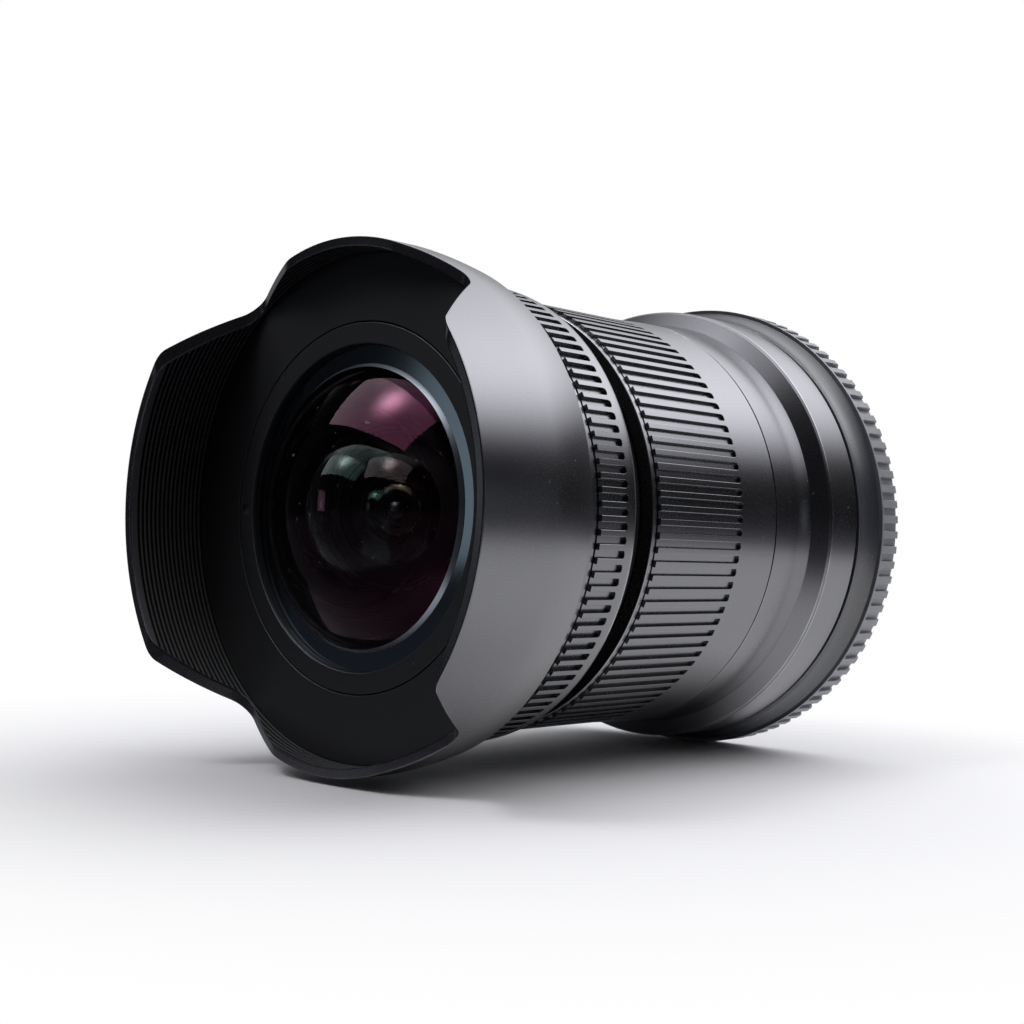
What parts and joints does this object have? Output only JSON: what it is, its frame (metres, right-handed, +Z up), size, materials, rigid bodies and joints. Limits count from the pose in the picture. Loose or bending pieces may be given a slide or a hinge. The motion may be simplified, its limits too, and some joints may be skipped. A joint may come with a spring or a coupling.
{
  "type": "ultra-wide prime lens",
  "caption": "Ultra-wide prime lens with a fixed petal hood, domed front glass, ribbed aperture and focus rings, a wide mount collar and a ribbed rear cap.",
  "frame": {"origin": "centre of the mount's flange plane, on the optical axis", "axes": "+Y along the optical axis towards the camera, so the front glass faces -Y; +Z up as in the picture; +X the side nearest to the picture's camera, with the scales on the -X side"},
  "size_m": [0.0712, 0.0911, 0.0712],
  "materials": {
    "anodised": "satin black anodised",
    "anodised_flat": "matt black anodised",
    "mount_metal": "satin plated brass",
    "screw_steel": "bright steel",
    "link_brass": "turned brass",
    "blade_steel": "blackened spring steel",
    "front_glass": "polished and coated",
    "inner_glass": "polished and coated",
    "cap_plastic": "moulded, fine texture",
    "index_paint": "glossy red"
  },
  "bodies": {
    "mount_body": {"rear_barrel": "anodised", "mount_index_dot": "index_paint", "guide_barrel": "anodised_flat", "focus_retainer": "anodised_flat", "focus_stop_pin": "screw_steel", "mount_plate": "mount_metal", "mount_screws": "screw_steel", "rear_baffle": "anodised_flat"},
    "focus_group": {"focus_ring": "anodised", "focus_cam_sleeve": "anodised_flat"},
    "optical_unit": {"petal_hood": "anodised", "hood_screws": "screw_steel", "front_trim_plate": "anodised_flat", "front_retaining_ring": "anodised_flat", "front_element": "front_glass", "front_spacer": "anodised_flat", "second_element": "inner_glass", "third_element": "inner_glass", "middle_spacer": "anodised_flat", "fourth_element": "inner_glass", "front_cell_ring": "anodised_flat", "front_cell": "anodised_flat", "optical_barrel": "anodised_flat", "barrel_screws": "screw_steel", "cam_rollers": "link_brass", "front_frame": "anodised_flat", "click_ball": "screw_steel", "click_spring": "screw_steel", "aperture_ring_retainer": "anodised_flat", "iris_base": "anodised_flat", "iris_cover": "anodised_flat", "fifth_element": "inner_glass", "sixth_element": "inner_glass", "rear_spacer": "anodised_flat", "seventh_element": "inner_glass", "tail_spacer": "anodised_flat", "eighth_element": "inner_glass", "rear_retaining_ring": "anodised_flat", "rear_cell": "anodised_flat", "rear_cell_ring": "anodised_flat"},
    "aperture_group": {"aperture_ring": "anodised", "aperture_link": "link_brass", "iris_drive_ring": "link_brass"},
    "blade_01": {"iris_blade_01": "blade_steel"},
    "blade_02": {"iris_blade_02": "blade_steel"},
    "blade_03": {"iris_blade_03": "blade_steel"},
    "blade_04": {"iris_blade_04": "blade_steel"},
    "blade_05": {"iris_blade_05": "blade_steel"},
    "blade_06": {"iris_blade_06": "blade_steel"},
    "blade_07": {"iris_blade_07": "blade_steel"},
    "blade_08": {"iris_blade_08": "blade_steel"},
    "blade_09": {"iris_blade_09": "blade_steel"},
    "blade_10": {"iris_blade_10": "blade_steel"},
    "cap_body": {"rear_cap": "cap_plastic"}
  },
  "joints": [
    {"name": "focus_turn", "type": "hinge", "parent": "mount_body", "child": "focus_group", "pos_m": [0, -0.0317, 0], "axis": [0, -1, 0], "range_deg": [0, 100]},
    {"name": "optics_slide", "type": "slide", "parent": "mount_body", "child": "optical_unit", "axis": [0, -1, 0], "range_m": [0, 0.0009]},
    {"name": "aperture_turn", "type": "hinge", "parent": "optical_unit", "child": "aperture_group", "pos_m": [0, -0.056, 0], "axis": [0, -1, 0], "range_deg": [0, 48]},
    {"name": "cap_twist", "type": "hinge", "parent": "mount_body", "child": "cap_body", "pos_m": [0, 0.005, 0], "axis": [0, -1, 0], "range_deg": [0, 60]},
    {"name": "blade_01_swing", "type": "hinge", "parent": "optical_unit", "child": "blade_01", "pos_m": [0.0118, -0.0403, 0], "axis": [0, -1, 0], "range_deg": [0, 23.5]},
    {"name": "blade_02_swing", "type": "hinge", "parent": "optical_unit", "child": "blade_02", "pos_m": [0.00955, -0.0403, 0.00694], "axis": [0, -1, 0], "range_deg": [0, 23.5]},
    {"name": "blade_03_swing", "type": "hinge", "parent": "optical_unit", "child": "blade_03", "pos_m": [0.00365, -0.0403, 0.01122], "axis": [0, -1, 0], "range_deg": [0, 23.5]},
    {"name": "blade_04_swing", "type": "hinge", "parent": "optical_unit", "child": "blade_04", "pos_m": [-0.00365, -0.0403, 0.01122], "axis": [0, -1, 0], "range_deg": [0, 23.5]},
    {"name": "blade_05_swing", "type": "hinge", "parent": "optical_unit", "child": "blade_05", "pos_m": [-0.00955, -0.0403, 0.00694], "axis": [0, -1, 0], "range_deg": [0, 23.5]},
    {"name": "blade_06_swing", "type": "hinge", "parent": "optical_unit", "child": "blade_06", "pos_m": [-0.0118, -0.0403, 0], "axis": [0, -1, 0], "range_deg": [0, 23.5]},
    {"name": "blade_07_swing", "type": "hinge", "parent": "optical_unit", "child": "blade_07", "pos_m": [-0.00955, -0.0403, -0.00694], "axis": [0, -1, 0], "range_deg": [0, 23.5]},
    {"name": "blade_08_swing", "type": "hinge", "parent": "optical_unit", "child": "blade_08", "pos_m": [-0.00365, -0.0403, -0.01122], "axis": [0, -1, 0], "range_deg": [0, 23.5]},
    {"name": "blade_09_swing", "type": "hinge", "parent": "optical_unit", "child": "blade_09", "pos_m": [0.00365, -0.0403, -0.01122], "axis": [0, -1, 0], "range_deg": [0, 23.5]},
    {"name": "blade_10_swing", "type": "hinge", "parent": "optical_unit", "child": "blade_10", "pos_m": [0.00955, -0.0403, -0.00694], "axis": [0, -1, 0], "range_deg": [0, 23.5]}
  ],
  "couplings": [
    {"joint": "focus_turn", "follows": "optics_slide", "rad_per_m": 1939.2},
    {"joint": "blade_01_swing", "follows": "aperture_turn", "ratio": 0.47917},
    {"joint": "blade_02_swing", "follows": "aperture_turn", "ratio": 0.47917},
    {"joint": "blade_03_swing", "follows": "aperture_turn", "ratio": 0.47917},
    {"joint": "blade_04_swing", "follows": "aperture_turn", "ratio": 0.47917},
    {"joint": "blade_05_swing", "follows": "aperture_turn", "ratio": 0.47917},
    {"joint": "blade_06_swing", "follows": "aperture_turn", "ratio": 0.47917},
    {"joint": "blade_07_swing", "follows": "aperture_turn", "ratio": 0.47917},
    {"joint": "blade_08_swing", "follows": "aperture_turn", "ratio": 0.47917},
    {"joint": "blade_09_swing", "follows": "aperture_turn", "ratio": 0.47917},
    {"joint": "blade_10_swing", "follows": "aperture_turn", "ratio": 0.47917}
  ]
}
